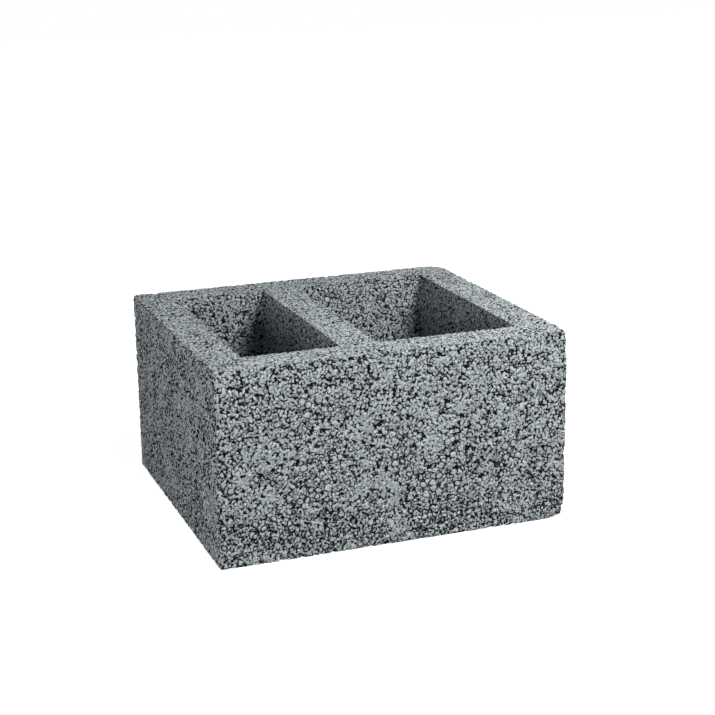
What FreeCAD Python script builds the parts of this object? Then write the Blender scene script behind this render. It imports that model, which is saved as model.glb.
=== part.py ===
# Two-duct ventilation block: one piece of pressed lightweight aggregate concrete, standing with its
# ducts upright. Outer walls and web are equally thick; the left duct is the narrow branch duct, the
# right duct is the wide main duct. Millimetres, +Z up, +X along the length, origin at the centre of
# the bottom bed.
import FreeCAD, Part
import math
import os

import Sketcher

NODE = "ventilation_block"

# Driving dimensions in millimetres, each with the words shown beside it in the sheet.
DIMENSIONS = [
    ("wall", 40.0, "thickness of the outer walls and of the web"),
    ("branch_duct_width", 100.0, "clear width of the left duct"),
    ("main_duct_width", 150.0, "clear width of the right duct"),
    ("duct_depth", 250.0, "clear depth of both ducts, front to back"),
    ("block_height", 200.0, "height from bed to bed"),
    ("arris_radius", 4.0, "rounding of the four upright outer edges"),
    ("duct_corner_radius", 3.0, "rounding of the upright corners in the ducts"),
]

# Sizes that follow from the ones above.
DERIVED = [
    ("block_length", "=3 * wall + branch_duct_width + main_duct_width", "length of the block"),
    ("block_depth", "=2 * wall + duct_depth", "depth of the block, front to back"),
]

# How near two places must be to count as one, in millimetres, and two volumes as a share.
SAME_PLACE = 0.001
SAME_VOLUME = 0.000001


def fill_sheet(doc):
    """The spreadsheet that drives every size of the block."""
    sheet = doc.addObject("Spreadsheet::Sheet", "sizes")
    for row, (alias, value, words) in enumerate(DIMENSIONS + DERIVED, start=1):
        sheet.set(f"A{row}", words)
        sheet.set(f"B{row}", str(value))
        sheet.setAlias(f"B{row}", alias)
    doc.recompute()
    return sheet


def origin_plane(body, role):
    """One of the body's own base planes, found by its role."""
    return next(plane for plane in body.Origin.OriginFeatures if plane.Role == role)


def rectangle_sketch(body, name, left, front, width, depth):
    """A rectangle on the bottom bed; the four arguments are expressions in the sheet's aliases."""
    sketch = body.newObject("Sketcher::SketchObject", name)
    sketch.AttachmentSupport = [(origin_plane(body, "XY_Plane"), "")]
    sketch.MapMode = "FlatFace"
    corners = [(0, 0), (1, 0), (1, 1), (0, 1)]
    for here, after in zip(corners, corners[1:] + corners[:1]):
        start = FreeCAD.Vector(here[0], here[1], 0)
        end = FreeCAD.Vector(after[0], after[1], 0)
        sketch.addGeometry(Part.LineSegment(start, end))
    bottom, right, top, left_side = range(4)
    for line, following in ((bottom, right), (right, top), (top, left_side), (left_side, bottom)):
        sketch.addConstraint(Sketcher.Constraint("Coincident", line, 2, following, 1))
    for line in (bottom, top):
        sketch.addConstraint(Sketcher.Constraint("Horizontal", line))
    for line in (right, left_side):
        sketch.addConstraint(Sketcher.Constraint("Vertical", line))
    sizes = [
        (Sketcher.Constraint("DistanceX", bottom, 1, bottom, 2, 1.0), width),
        (Sketcher.Constraint("DistanceY", right, 1, right, 2, 1.0), depth),
        (Sketcher.Constraint("DistanceX", -1, 1, bottom, 1, 0.0), left),
        (Sketcher.Constraint("DistanceY", -1, 1, bottom, 1, 0.0), front),
    ]
    for constraint, expression in sizes:
        index = sketch.addConstraint(constraint)
        sketch.setExpression(f"Constraints[{index}]", expression)
    return sketch


def upright_edges(shape, xs, ys):
    """Names of the upright edges that stand at the given x and y places."""
    names = []
    for number, edge in enumerate(shape.Edges, start=1):
        start, end = edge.Vertexes[0].Point, edge.Vertexes[-1].Point
        upright = abs(start.x - end.x) < SAME_PLACE and abs(start.y - end.y) < SAME_PLACE
        at_x = min(abs(start.x - x) for x in xs) < SAME_PLACE
        at_y = min(abs(start.y - y) for y in ys) < SAME_PLACE
        if upright and at_x and at_y:
            names.append(f"Edge{number}")
    return names


def round_corners(body, name, base, edges, radius):
    """A fillet whose radius is an expression."""
    fillet = body.newObject("PartDesign::Fillet", name)
    fillet.Base = (base, edges)
    fillet.setExpression("Radius", radius)
    body.Document.recompute()
    return fillet


def build_block(doc, sheet):
    """The casting: an outer rectangle raised to its height, with two ducts cut right through it."""
    body = doc.addObject("PartDesign::Body", "block")
    body.Label = NODE

    outline = rectangle_sketch(
        body, "outline",
        "-sizes.block_length / 2", "-sizes.block_depth / 2",
        "sizes.block_length", "sizes.block_depth")
    casting = body.newObject("PartDesign::Pad", "casting")
    casting.Profile = outline
    casting.setExpression("Length", "sizes.block_height")
    doc.recompute()

    duct_front = "-sizes.duct_depth / 2"
    branch_left = "-sizes.block_length / 2 + sizes.wall"
    main_left = f"{branch_left} + sizes.branch_duct_width + sizes.wall"
    ducts = [
        ("branch_duct", branch_left, "sizes.branch_duct_width"),
        ("main_duct", main_left, "sizes.main_duct_width"),
    ]
    solid = casting
    for name, left, width in ducts:
        mouth = rectangle_sketch(body, f"{name}_mouth", left, duct_front, width, "sizes.duct_depth")
        duct = body.newObject("PartDesign::Pocket", name)
        duct.Profile = mouth
        duct.Type = "ThroughAll"
        duct.Reversed = True
        doc.recompute()
        solid = duct

    half_length = sheet.block_length / 2
    half_depth = sheet.block_depth / 2
    outer = upright_edges(solid.Shape, [-half_length, half_length], [-half_depth, half_depth])
    rounded = round_corners(body, "arrises", solid, outer, "sizes.arris_radius")

    branch_x = -half_length + sheet.wall
    main_x = branch_x + sheet.branch_duct_width + sheet.wall
    duct_xs = [branch_x, branch_x + sheet.branch_duct_width, main_x, main_x + sheet.main_duct_width]
    half_duct = sheet.duct_depth / 2
    inner = upright_edges(rounded.Shape, duct_xs, [-half_duct, half_duct])
    body.Tip = round_corners(body, "duct_corners", rounded, inner, "sizes.duct_corner_radius")
    doc.recompute()
    return body


def expected_volume(sheet):
    """Outline less the two ducts, each with its corners rounded, times the height."""
    corner_loss = 4 - math.pi
    outline = sheet.block_length * sheet.block_depth - corner_loss * sheet.arris_radius ** 2
    mouths = (sheet.branch_duct_width + sheet.main_duct_width) * sheet.duct_depth
    mouths -= 2 * corner_loss * sheet.duct_corner_radius ** 2
    return (outline - mouths) * sheet.block_height


def check_document(doc, body, sheet):
    """Stops on a failed feature, an invalid solid or a volume that isn't the block's."""
    for thing in doc.Objects:
        if "Invalid" in thing.State or "Error" in thing.State:
            raise RuntimeError(f"{thing.Name} failed: {thing.State}")
    shape = body.Shape
    if shape.isNull() or not shape.isValid() or len(shape.Solids) != 1:
        raise RuntimeError("the block is not one valid solid")
    if abs(shape.Volume / expected_volume(sheet) - 1) > SAME_VOLUME:
        raise RuntimeError(f"the block's volume is {shape.Volume:.0f} cubic millimetres")


doc = FreeCAD.newDocument("ventilation_block")
sheet = fill_sheet(doc)
block = build_block(doc, sheet)
check_document(doc, block, sheet)
os.makedirs("parts", exist_ok=True)
block.Shape.exportStep(f"parts/{block.Label}.step")
box = block.Shape.BoundBox
print(f"{block.Label}: {box.XLength:.1f} x {box.YLength:.1f} x {box.ZLength:.1f} mm,"
      f" {block.Shape.Volume / 1e9:.5f} cubic metres")
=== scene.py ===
import math

import bmesh
import bpy
import numpy as np
from mathutils import Matrix, Vector


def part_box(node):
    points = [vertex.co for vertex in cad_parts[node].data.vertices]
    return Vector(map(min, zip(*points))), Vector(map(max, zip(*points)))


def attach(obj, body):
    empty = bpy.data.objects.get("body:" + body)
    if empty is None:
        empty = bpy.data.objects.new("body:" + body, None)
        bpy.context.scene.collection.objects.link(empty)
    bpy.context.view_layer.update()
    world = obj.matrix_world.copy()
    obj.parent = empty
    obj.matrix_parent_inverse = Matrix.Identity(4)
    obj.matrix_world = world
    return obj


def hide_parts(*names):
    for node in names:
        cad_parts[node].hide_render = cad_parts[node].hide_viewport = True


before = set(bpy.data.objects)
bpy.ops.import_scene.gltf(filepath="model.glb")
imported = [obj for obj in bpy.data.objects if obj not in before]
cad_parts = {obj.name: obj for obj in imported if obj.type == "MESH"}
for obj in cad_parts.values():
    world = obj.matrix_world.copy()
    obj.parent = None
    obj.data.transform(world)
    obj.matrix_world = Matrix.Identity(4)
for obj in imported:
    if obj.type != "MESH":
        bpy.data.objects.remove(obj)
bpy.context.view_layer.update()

# The casting: one block of lightweight concrete, pressed in a steel mould from round clay pellets
# that a thin coat of cement sticks together. It is one closed mesh, as it is one piece; the mesh
# carries the larger pellets and gaps, and bump carries what is finer than its grain.

NODE = "ventilation_block"
WALL = 0.040
BRANCH_DUCT = 0.100
MAIN_DUCT = 0.150
GRAIN = 0.00267

low, high = (Vector(corner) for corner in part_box(NODE))
duct_front = low.y + WALL
duct_back = high.y - WALL
branch_left = low.x + WALL
branch_right = branch_left + BRANCH_DUCT
main_left = branch_right + WALL
main_right = main_left + MAIN_DUCT

ARRIS_SOFTNESS = 0.0020
ARRIS_ROUNDING = 0.0016

# Knocks that the block took in handling: the place in block lengths, depths and heights from the
# front bottom left corner, then how deep and how wide the break is.
KNOCKS = [
    ((1.00, 0.00, 0.00), 0.0038, 0.012),
    ((1.00, 0.00, 1.00), 0.0022, 0.009),
    ((1.00, 0.00, 0.90), 0.0018, 0.007),
    ((1.00, 1.00, 1.00), 0.0024, 0.010),
    ((0.00, 0.34, 1.00), 0.0016, 0.006),
    ((0.26, 0.00, 1.00), 0.0014, 0.012),
    ((0.125, 0.88, 0.985), 0.0035, 0.005),
    ((0.145, 0.88, 0.985), 0.0035, 0.005),
]


def between(t, start, end, softness):
    """1 between two mould planes and 0 outside them, with its slope; both change softly."""
    rise = np.tanh((t - start) / softness)
    fall = np.tanh((t - end) / softness)
    return (rise - fall) / 2, (fall ** 2 - rise ** 2) / (2 * softness)


def concrete_round(points, softness):
    """How much concrete lies round each point, from 0 to 1, and the way out of it."""
    x, y, z = points.T
    block_x, block_dx = between(x, low.x, high.x, softness)
    block_y, block_dy = between(y, low.y, high.y, softness)
    block_z, block_dz = between(z, low.z, high.z, softness)
    share = block_x * block_y
    along_x = block_dx * block_y
    along_y = block_x * block_dy
    duct_y, duct_dy = between(y, duct_front, duct_back, softness)
    for left, right in ((branch_left, branch_right), (main_left, main_right)):
        duct_x, duct_dx = between(x, left, right, softness)
        share = share - duct_x * duct_y
        along_x = along_x - duct_dx * duct_y
        along_y = along_y - duct_x * duct_dy
    outward = -np.stack([along_x * block_z, along_y * block_z, share * block_dz], axis=1)
    outward /= np.linalg.norm(outward, axis=1, keepdims=True) + 1e-9
    return share * block_z, outward


def cut_at(bm, normal, place):
    """One straight cut right round the block."""
    everything = bm.verts[:] + bm.edges[:] + bm.faces[:]
    bmesh.ops.bisect_plane(bm, geom=everything, plane_co=place, plane_no=normal)


def grain_cuts(bm, axis):
    """Cuts every edge along one axis into pieces as long as the grain."""
    by_cuts = {}
    for edge in bm.edges:
        run = edge.verts[1].co - edge.verts[0].co
        if abs(run[axis]) > GRAIN / 10:
            by_cuts.setdefault(round(abs(run[axis]) / GRAIN) - 1, []).append(edge)
    for cuts, edges in by_cuts.items():
        bmesh.ops.subdivide_edges(bm, edges=edges, cuts=cuts, use_grid_fill=True)


def block_mesh():
    """The block as a closed box with two ducts through it and a fine grid on every face."""
    bm = bmesh.new()
    size = high - low
    middle = Matrix.Translation((low + high) / 2)
    bmesh.ops.create_cube(bm, size=1.0, matrix=middle @ Matrix.Diagonal(size.to_4d()))
    for x in (branch_left, branch_right, main_left, main_right):
        cut_at(bm, (1, 0, 0), (x, 0, 0))
    for y in (duct_front, duct_back):
        cut_at(bm, (0, 1, 0), (0, y, 0))
    for left, right in ((branch_left, branch_right), (main_left, main_right)):
        mouths = []
        for face in bm.faces:
            centre = face.calc_center_median()
            over_duct = left < centre.x < right and duct_front < centre.y < duct_back
            if over_duct and abs(face.normal.z) > 0.9:
                mouths.append(face)
        rims = [edge for face in mouths for edge in face.edges]
        bmesh.ops.delete(bm, geom=mouths, context="FACES_ONLY")
        bmesh.ops.bridge_loops(bm, edges=rims)
    bmesh.ops.recalc_face_normals(bm, faces=bm.faces)
    for axis in range(3):
        grain_cuts(bm, axis)
    for face in bm.faces:
        face.smooth = True
    for edge in bm.edges:
        edge.smooth = edge.calc_face_angle() < math.radians(45)
    mesh = bpy.data.meshes.new("pressed_block")
    bm.to_mesh(mesh)
    bm.free()
    return mesh


ROW_LENGTH = 1.09
ROW_GAP = 0.003


def lay_out_faces(mesh):
    """A flat map for the finish: each plane of the block is a rectangle of its own, laid in rows."""
    planes = {}
    for face in mesh.polygons:
        facing = max(range(3), key=lambda axis: abs(face.normal[axis]))
        planes.setdefault((facing, round(face.center[facing], 4)), []).append(face)
    sides = []
    for (facing, _), faces in planes.items():
        across, up = [axis for axis in range(3) if axis != facing]
        corners = [mesh.vertices[corner].co for face in faces for corner in face.vertices]
        start = min(corner[across] for corner in corners), min(corner[up] for corner in corners)
        width = max(corner[across] for corner in corners) - start[0]
        tall = max(corner[up] for corner in corners) - start[1]
        sides.append((tall, width, len(sides), across, up, start, faces))
    uv = mesh.uv_layers.new(name="OFBake").data
    left, bottom, row = ROW_GAP, ROW_GAP, 0.0
    for tall, width, _, across, up, start, faces in sorted(sides, reverse=True):
        if left + width > ROW_LENGTH or row > tall + ROW_GAP:
            left, bottom, row = ROW_GAP, bottom + row + ROW_GAP, 0.0
        for loop in (loop for face in faces for loop in face.loop_indices):
            place = mesh.vertices[mesh.loops[loop].vertex_index].co
            spot = (left + place[across] - start[0], bottom + place[up] - start[1])
            uv[loop].uv = (spot[0] / ROW_LENGTH, spot[1] / ROW_LENGTH)
        left += width + ROW_GAP
        row = max(row, tall)


def knock_off(points):
    """How far each point is moved by the knocks at the block's edges and corners."""
    size = high - low
    moved = np.zeros_like(points)
    for place, depth, reach in KNOCKS:
        centre = np.array([low[axis] + place[axis] * size[axis] for axis in range(3)])
        outward = concrete_round(centre[None], reach)[1][0]
        away = np.linalg.norm(points - centre, axis=1) / reach
        moved -= depth * np.exp(-away ** 2)[:, None] * outward
    return moved


# How open the surface is left: more where pellets lay loosely in the mould, less where paste closed it.
OPEN_FACE = 0.73
OPEN_END = 0.56
OPEN_BED = 0.52
FOOT_HEIGHT = 0.055
FOOT_CLOSING = 0.20
ARRIS_OPENING = 0.15
DUCT_OPENING = 0.07


def note_surface(mesh):
    """Stores where each point lies in the mould, which way is out and how open the concrete is."""
    count = len(mesh.vertices)
    points = np.empty(count * 3)
    mesh.vertices.foreach_get("co", points)
    points = points.reshape(-1, 3)
    share, outward = concrete_round(points, ARRIS_SOFTNESS)
    over_x = np.maximum(points[:, 0] - high.x, low.x - points[:, 0])
    over_y = np.maximum(points[:, 1] - high.y, low.y - points[:, 1])
    in_ducts = np.maximum(over_x, over_y) < -WALL / 2
    beds, ends = outward[:, 2] ** 2, ~in_ducts * outward[:, 0] ** 2
    openness = OPEN_FACE + (OPEN_BED - OPEN_FACE) * beds + (OPEN_END - OPEN_FACE) * ends
    openness += DUCT_OPENING * in_ducts * (1 - beds)
    foot = np.clip(1 - (points[:, 2] - low.z) / FOOT_HEIGHT, 0, 1)
    openness += ARRIS_OPENING * 4 * beds * (1 - beds) - FOOT_CLOSING * foot * outward[:, 1] ** 2
    rounded = points - outward * (ARRIS_ROUNDING * np.maximum(0, 0.5 - share))[:, None] + knock_off(points)
    for name, kind, values in (("rest", "FLOAT_VECTOR", points), ("outward", "FLOAT_VECTOR", outward),
                               ("openness", "FLOAT", openness)):
        field = mesh.attributes.new(name, kind, "POINT")
        field.data.foreach_set("vector" if kind == "FLOAT_VECTOR" else "value", values.ravel())
    mesh.vertices.foreach_set("co", rounded.ravel())


# The gradings of pellets in the mix, from fine to coarse: the spacing of their centres, the share of
# places taken, how much they gather in patches, the smallest and largest radius as a share of the
# spacing, and the depth at the rim.
GRADINGS = [
    (0.0026, 0.97, 0.0, 0.64, 0.88, 0.0018),
    (0.0043, 0.40, 0.6, 0.50, 0.66, 0.0020),
    (0.0080, 0.32, 0.9, 0.40, 0.60, 0.0025),
]
FLATNESS = 4.6
WOBBLES = ((0.0042, 0.0020), (0.0017, 0.0008))
DRIFT_SPACING = 0.030
BLOT_SPACING = 0.0029
PORE_SPACING = 0.0027
DEEPEST = 0.0036
PASTE_LEVEL = 0.00030
PORE_DEPTH = 0.0021
SETTLING = 0.07
PRESSED_SHARE = 0.60


class Nodes:
    """A short way to write node sums, for the modifier's tree and the material's alike."""

    def __init__(self, tree):
        self.tree = tree

    def add(self, kind, **settings):
        node = self.tree.nodes.new(kind)
        for name, value in settings.items():
            setattr(node, name, value)
        return node

    def feed(self, socket, value):
        if isinstance(value, bpy.types.NodeSocket):
            self.tree.links.new(value, socket)
        else:
            socket.default_value = value

    def sum(self, operation, *values, clamp=False):
        node = self.add("ShaderNodeMath", operation=operation, use_clamp=clamp)
        for socket, value in zip(node.inputs, values):
            self.feed(socket, value)
        return node.outputs[0]

    def mix(self, share, first, second):
        node = self.add("ShaderNodeMix", data_type="FLOAT")
        for socket, value in zip(node.inputs[:1] + node.inputs[2:4], (share, first, second)):
            self.feed(socket, value)
        return node.outputs[0]

    def noise(self, place, spacing, detail=2.0, roughness=0.5):
        node = self.add("ShaderNodeTexNoise")
        self.feed(node.inputs["Vector"], place)
        node.inputs["Scale"].default_value = 1 / spacing
        node.inputs["Detail"].default_value = detail
        node.inputs["Roughness"].default_value = roughness
        return node.outputs

    def spread(self, value, start, end, first, last, smooth=False):
        node = self.add("ShaderNodeMapRange")
        node.interpolation_type = "SMOOTHSTEP" if smooth else "LINEAR"
        for socket, item in zip(node.inputs, (value, start, end, first, last)):
            self.feed(socket, item)
        return node.outputs[0]


def pellet_surface(nodes, rest, openness):
    """Height of the concrete over the mould face, 0 or below, in metres; and a tint for each pellet."""
    bent = rest
    for spacing, reach in WOBBLES:
        wobble = nodes.add("ShaderNodeVectorMath", operation="MULTIPLY_ADD")
        nodes.feed(wobble.inputs[0], nodes.noise(rest, spacing, detail=0.0)["Color"])
        wobble.inputs[1].default_value = (reach,) * 3
        nodes.feed(wobble.inputs[2], bent)
        bent = wobble.outputs[0]
    drift = nodes.noise(rest, DRIFT_SPACING, detail=2.0)["Fac"]
    settled = nodes.add("ShaderNodeSeparateXYZ")
    nodes.feed(settled.inputs[0], rest)
    settled = nodes.sum("ADD", drift, nodes.spread(settled.outputs[2], low.z, high.z, SETTLING, -SETTLING))
    coarser = nodes.spread(openness, OPEN_FACE, OPEN_FACE + DUCT_OPENING, 0.0, SETTLING)
    settled = nodes.sum("ADD", settled, coarser)
    surface, tint = -DEEPEST, 0.5
    for spacing, share, gathering, smallest, largest, rim in GRADINGS:
        cells = nodes.add("ShaderNodeTexVoronoi")
        nodes.feed(cells.inputs["Vector"], bent)
        cells.inputs["Scale"].default_value = 1 / spacing
        chance = nodes.add("ShaderNodeSeparateXYZ")
        nodes.feed(chance.inputs[0], cells.outputs["Color"])
        radius = nodes.sum("MULTIPLY_ADD", chance.outputs[0], largest - smallest, smallest)
        away = nodes.sum("DIVIDE", cells.outputs["Distance"], radius)
        height = nodes.sum("MULTIPLY", nodes.sum("POWER", away, FLATNESS), -rim)
        taken = nodes.spread(settled, 0.40, 0.60, share - gathering * share, share + gathering * share)
        here = nodes.sum("MULTIPLY", nodes.sum("LESS_THAN", chance.outputs[1], taken),
                         nodes.sum("LESS_THAN", away, 1.0))
        surface = nodes.mix(here, surface, height)
        tint = nodes.mix(here, tint, chance.outputs[2])
    blots = nodes.noise(rest, BLOT_SPACING, detail=2.0, roughness=0.5)["Fac"]
    closed = nodes.spread(openness, OPEN_BED, OPEN_FACE, 1.0, 0.0)
    patchy = nodes.spread(closed, 0.0, 1.0, 1.20, 0.15)
    openness = nodes.sum("MULTIPLY_ADD", nodes.sum("SUBTRACT", drift, 0.5), patchy, openness)
    filled = nodes.spread(nodes.sum("SUBTRACT", blots, openness), -0.03, 0.05, 0.0, 1.0, smooth=True)
    paste = nodes.sum("MULTIPLY_ADD", filled, DEEPEST - PASTE_LEVEL, -DEEPEST)
    pores = nodes.noise(rest, PORE_SPACING, detail=1.0, roughness=0.4)["Fac"]
    depth = nodes.spread(closed, 0.0, 1.0, -PORE_DEPTH / 6, -PORE_DEPTH)
    start = nodes.spread(openness, OPEN_BED, OPEN_END, 0.335, 0.385)
    pitted = nodes.spread(pores, start, nodes.sum("ADD", start, 0.06), depth, 0.0)
    return nodes.sum("ADD", nodes.sum("MAXIMUM", surface, paste), pitted), tint


def press_pellets(piece):
    """Moves the block's skin in to the pellets and the paste between them."""
    tree = bpy.data.node_groups.new("pressed pellets", "GeometryNodeTree")
    tree.interface.new_socket("Geometry", in_out="INPUT", socket_type="NodeSocketGeometry")
    tree.interface.new_socket("Geometry", in_out="OUTPUT", socket_type="NodeSocketGeometry")
    nodes = Nodes(tree)

    def stored(name, kind):
        node = nodes.add("GeometryNodeInputNamedAttribute", data_type=kind)
        node.inputs["Name"].default_value = name
        return node.outputs["Attribute"]

    height, _ = pellet_surface(nodes, stored("rest", "FLOAT_VECTOR"), stored("openness", "FLOAT"))
    push = nodes.add("ShaderNodeVectorMath", operation="SCALE")
    nodes.feed(push.inputs[0], stored("outward", "FLOAT_VECTOR"))
    nodes.feed(push.inputs["Scale"], nodes.sum("MULTIPLY", height, PRESSED_SHARE))
    moved = nodes.add("GeometryNodeSetPosition")
    nodes.feed(moved.inputs["Geometry"], nodes.add("NodeGroupInput").outputs[0])
    nodes.feed(moved.inputs["Offset"], push.outputs[0])
    nodes.feed(nodes.add("NodeGroupOutput").inputs[0], moved.outputs[0])
    modifier = piece.modifiers.new("pressed pellets", "NODES")
    modifier.node_group = tree
    pressed = piece.evaluated_get(bpy.context.evaluated_depsgraph_get())
    piece.data = bpy.data.meshes.new_from_object(pressed)
    piece.modifiers.clear()


# Colours by depth below the pellet tops: pale on the tops, then painted shade that darkens to near black
# in the gaps, pores and holes, where the relief would be shaded.
PELLET_GREY = (0.285, 0.311, 0.324, 1)
SHALLOW_PAINTED_SHADE = (0.185, 0.204, 0.214, 1)
GAP_PAINTED_SHADE = (0.030, 0.034, 0.038, 1)
HOLE_PAINTED_SHADE = (0.006, 0.007, 0.008, 1)
SHADE_DEPTH = 0.0017
GRIT_SPACING = 0.0016
SAND_SPACING = 0.0024
CLOUD_SPACING = 0.06


def concrete_material():
    """Matt blue-grey cement on clay: pale on the pellets, with painted shade that grows darker with depth,
    to nearly black in the gaps and holes.
    """
    material = bpy.data.materials.new("pressed pellet concrete")
    material.use_nodes = True
    nodes = Nodes(material.node_tree)
    shader = material.node_tree.nodes["Principled BSDF"]
    rest = nodes.add("ShaderNodeAttribute", attribute_name="rest").outputs["Vector"]
    openness = nodes.add("ShaderNodeAttribute", attribute_name="openness").outputs["Fac"]
    height, tint = pellet_surface(nodes, rest, openness)
    # Painted shade: the colour darkens with depth below the pellet tops and is nearly black at SHADE_DEPTH
    # down.
    shade = nodes.add("ShaderNodeValToRGB")
    nodes.feed(shade.inputs["Fac"], nodes.spread(height, -SHADE_DEPTH, 0.0, 0.0, 1.0))
    ramp = shade.color_ramp
    ramp.elements[0].color = HOLE_PAINTED_SHADE
    ramp.elements[1].color = PELLET_GREY
    ramp.elements[1].position = 0.84
    for place, colour in ((0.48, GAP_PAINTED_SHADE), (0.68, SHALLOW_PAINTED_SHADE)):
        ramp.elements.new(place).color = colour
    grit = nodes.noise(rest, GRIT_SPACING, detail=3.0, roughness=0.7)["Fac"]
    clouds = nodes.noise(rest, CLOUD_SPACING, detail=3.0, roughness=0.55)["Fac"]
    sand = nodes.noise(rest, SAND_SPACING, detail=2.0, roughness=0.65)["Fac"]
    gritty = nodes.spread(grit, 0.3, 0.7, 0.86, 1.14)
    sandy = nodes.spread(sand, 0.3, 0.7, 0.50, 1.50)
    bright = nodes.sum("MULTIPLY", gritty, sandy)
    bright = nodes.sum("MULTIPLY", bright, nodes.sum("MULTIPLY_ADD", clouds, 0.24, 0.88))
    bright = nodes.sum("MULTIPLY", bright, nodes.sum("MULTIPLY_ADD", tint, 0.20, 0.90))
    colour = nodes.add("ShaderNodeVectorMath", operation="SCALE")
    nodes.feed(colour.inputs[0], shade.outputs["Color"])
    nodes.feed(colour.inputs["Scale"], bright)
    nodes.feed(shader.inputs["Base Color"], colour.outputs[0])
    nodes.feed(shader.inputs["Roughness"], nodes.spread(grit, 0.3, 0.7, 0.82, 0.96))
    # Painted shade: no specular in the gaps and holes, so they stay dark.
    nodes.feed(shader.inputs["Specular IOR Level"], nodes.spread(height, -SHADE_DEPTH, 0.0, 0.0, 0.3))
    relief = nodes.add("ShaderNodeBump")
    relief.inputs["Strength"].default_value = 0.52
    relief.inputs["Distance"].default_value = 1.0
    rough = nodes.sum("MULTIPLY_ADD", sand, 0.0009, nodes.sum("MULTIPLY_ADD", grit, 0.0005, height))
    nodes.feed(relief.inputs["Height"], rough)
    nodes.feed(shader.inputs["Normal"], relief.outputs["Normal"])
    return material


block = bpy.data.objects.new("pressed_block", block_mesh())
bpy.context.collection.objects.link(block)
lay_out_faces(block.data)
note_surface(block.data)
press_pellets(block)
block.data.materials.append(concrete_material())
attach(block, "root")
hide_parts(NODE)

# The studio: a plain white floor that runs out of sight, and soft lamps round the block. The main
# lamp stands in front and to the right, high enough to reach into the ducts from the front.

FLOOR_SIZE = 12.0
floor_mesh = bpy.data.meshes.new("floor")
bm = bmesh.new()
bmesh.ops.create_grid(bm, x_segments=1, y_segments=1, size=FLOOR_SIZE / 2)
bm.to_mesh(floor_mesh)
bm.free()
floor = bpy.data.objects.new("floor", floor_mesh)
bpy.context.collection.objects.link(floor)


def floor_material():
    """White to the camera, so that only the block's soft shadow shows, and a pale matt grey to light."""
    material = bpy.data.materials.new("white floor")
    material.use_nodes = True
    tree = material.node_tree
    nodes = Nodes(tree)
    tree.nodes.clear()
    matt = nodes.add("ShaderNodeBsdfDiffuse")
    matt.inputs["Color"].default_value = (0.45, 0.45, 0.45, 1)
    glow = nodes.add("ShaderNodeEmission")
    glow.inputs["Color"].default_value = (1, 1, 1, 1)
    away = nodes.add("ShaderNodeVectorMath", operation="LENGTH")
    nodes.feed(away.inputs[0], nodes.add("ShaderNodeTexCoord").outputs["Object"])
    nodes.feed(glow.inputs["Strength"], nodes.spread(away.outputs["Value"], 0.3, 1.2, 0.87, 1.0))
    both = nodes.add("ShaderNodeAddShader")
    seen = nodes.add("ShaderNodeLightPath").outputs["Is Camera Ray"]
    nodes.feed(both.inputs[0], matt.outputs[0])
    nodes.feed(both.inputs[1], glow.outputs[0])
    choice = nodes.add("ShaderNodeMixShader")
    nodes.feed(choice.inputs[0], seen)
    nodes.feed(choice.inputs[1], matt.outputs[0])
    nodes.feed(choice.inputs[2], both.outputs[0])
    nodes.feed(nodes.add("ShaderNodeOutputMaterial").inputs["Surface"], choice.outputs[0])
    return material


floor.data.materials.append(floor_material())

world = bpy.data.worlds.new("white room")
bpy.context.scene.world = world
world.use_nodes = True
nodes = Nodes(world.node_tree)
room = world.node_tree.nodes["Background"]
room.inputs["Color"].default_value = (0.93, 0.97, 1.0, 1)
room.inputs["Strength"].default_value = 0.19
white = nodes.add("ShaderNodeBackground")
white.inputs["Color"].default_value = (1, 1, 1, 1)
choice = nodes.add("ShaderNodeMixShader")
nodes.feed(choice.inputs[0], nodes.add("ShaderNodeLightPath").outputs["Is Camera Ray"])
nodes.feed(choice.inputs[1], room.outputs[0])
nodes.feed(choice.inputs[2], white.outputs[0])
nodes.feed(world.node_tree.nodes["World Output"].inputs["Surface"], choice.outputs[0])


def soft_lamp(name, place, width, watts):
    """A square soft lamp that looks at the middle of the block."""
    light = bpy.data.lights.new(name, "AREA")
    light.size = width
    light.energy = watts
    lamp = bpy.data.objects.new(name, light)
    lamp.location = place
    aim = Vector((0, 0, high.z / 2)) - lamp.location
    lamp.rotation_euler = aim.to_track_quat("-Z", "Y").to_euler()
    bpy.context.collection.objects.link(lamp)
    return lamp


soft_lamp("main_lamp", (0.40, -0.56, 1.00), 0.40, 21.5)
soft_lamp("left_lamp", (-1.4, -0.9, 0.35), 0.8, 19)

# The camera stands in front and a little to the left, above the block, with a long lens.
CAMERA_PLACE = (-0.5594, -1.5674, 0.6266)
CAMERA_TURN = math.radians(-20.28)
CAMERA_DIP = math.radians(16.00)
CAMERA_ROLL = math.radians(-0.88)

lens = bpy.data.cameras.new("camera")
lens.sensor_width = 36.0
lens.lens = 81.6
lens.clip_start = 0.01
camera = bpy.data.objects.new("camera", lens)
camera.location = CAMERA_PLACE
level = Matrix.Rotation(CAMERA_TURN, 4, "Z") @ Matrix.Rotation(math.pi / 2 - CAMERA_DIP, 4, "X")
camera.rotation_euler = (level @ Matrix.Rotation(CAMERA_ROLL, 4, "Z")).to_euler()
bpy.context.collection.objects.link(camera)
bpy.context.scene.camera = camera
bpy.context.scene.view_settings.view_transform = "Standard"
